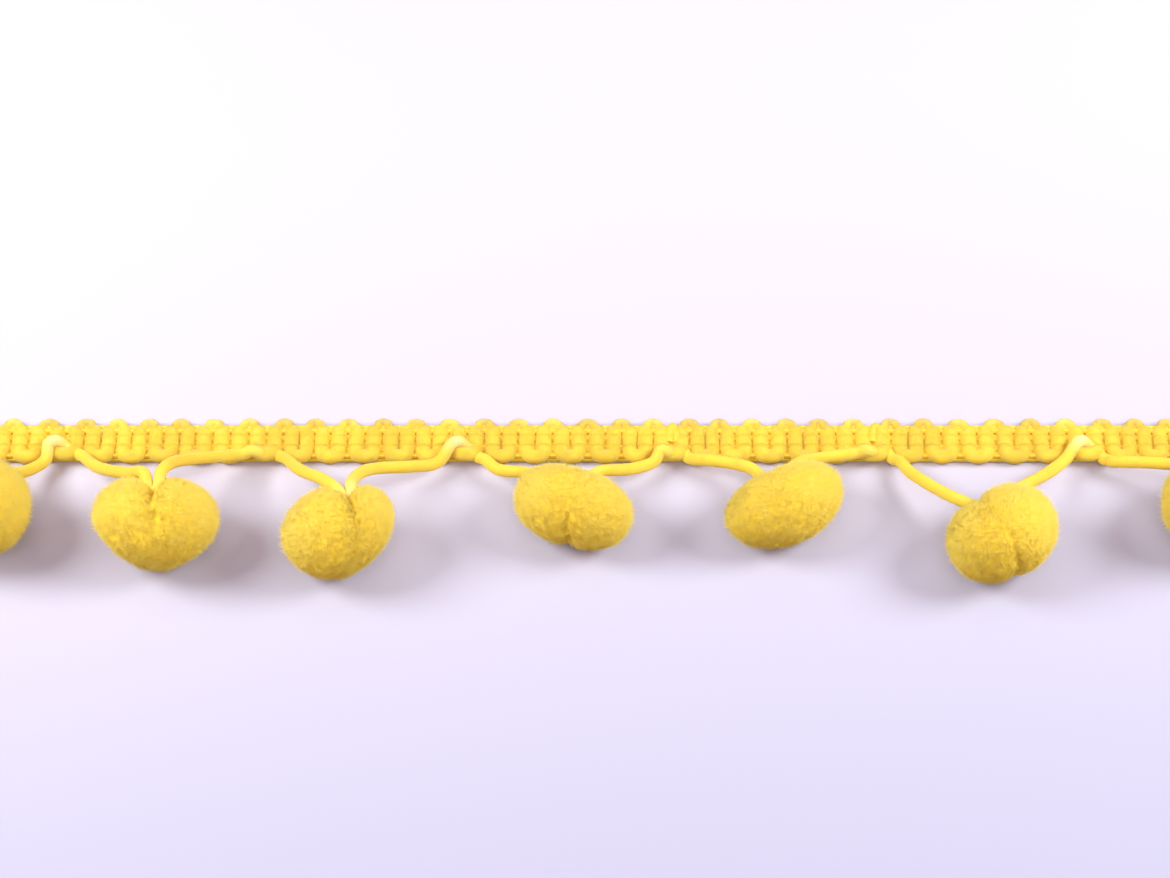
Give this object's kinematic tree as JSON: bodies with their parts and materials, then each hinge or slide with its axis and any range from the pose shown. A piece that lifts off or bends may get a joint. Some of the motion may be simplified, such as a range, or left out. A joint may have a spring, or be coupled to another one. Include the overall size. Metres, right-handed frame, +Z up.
{
  "type": "pompom fringe trim",
  "caption": "Straight length of pompom fringe: a scalloped gimp heading and a looped cord that holds a round cut-pile pompom by the waist in each repeat.",
  "frame": {"origin": "the middle of the heading's flat back, which is sewn or glued down", "axes": "+X along the trim, +Y from the pompoms to the heading's far edge, +Z up from the flat back to the face"},
  "size_m": [0.1873, 0.0252, 0.0118],
  "materials": {
    "heading_yarn": "soft matte bulked yarn, lemon yellow",
    "cord_yarn": "twisted yarn with a faint pale shine at its bends, lemon yellow",
    "pompom_pile": "dense brushed cut pile, matte lemon yellow"
  },
  "bodies": {
    "root": {"heading": "heading_yarn", "carrier_cord": "cord_yarn", "pompom_1": "pompom_pile", "pompom_2": "pompom_pile", "pompom_3": "pompom_pile", "pompom_4": "pompom_pile", "pompom_5": "pompom_pile", "pompom_6": "pompom_pile", "pompom_7": "pompom_pile"}
  },
  "joints": []
}
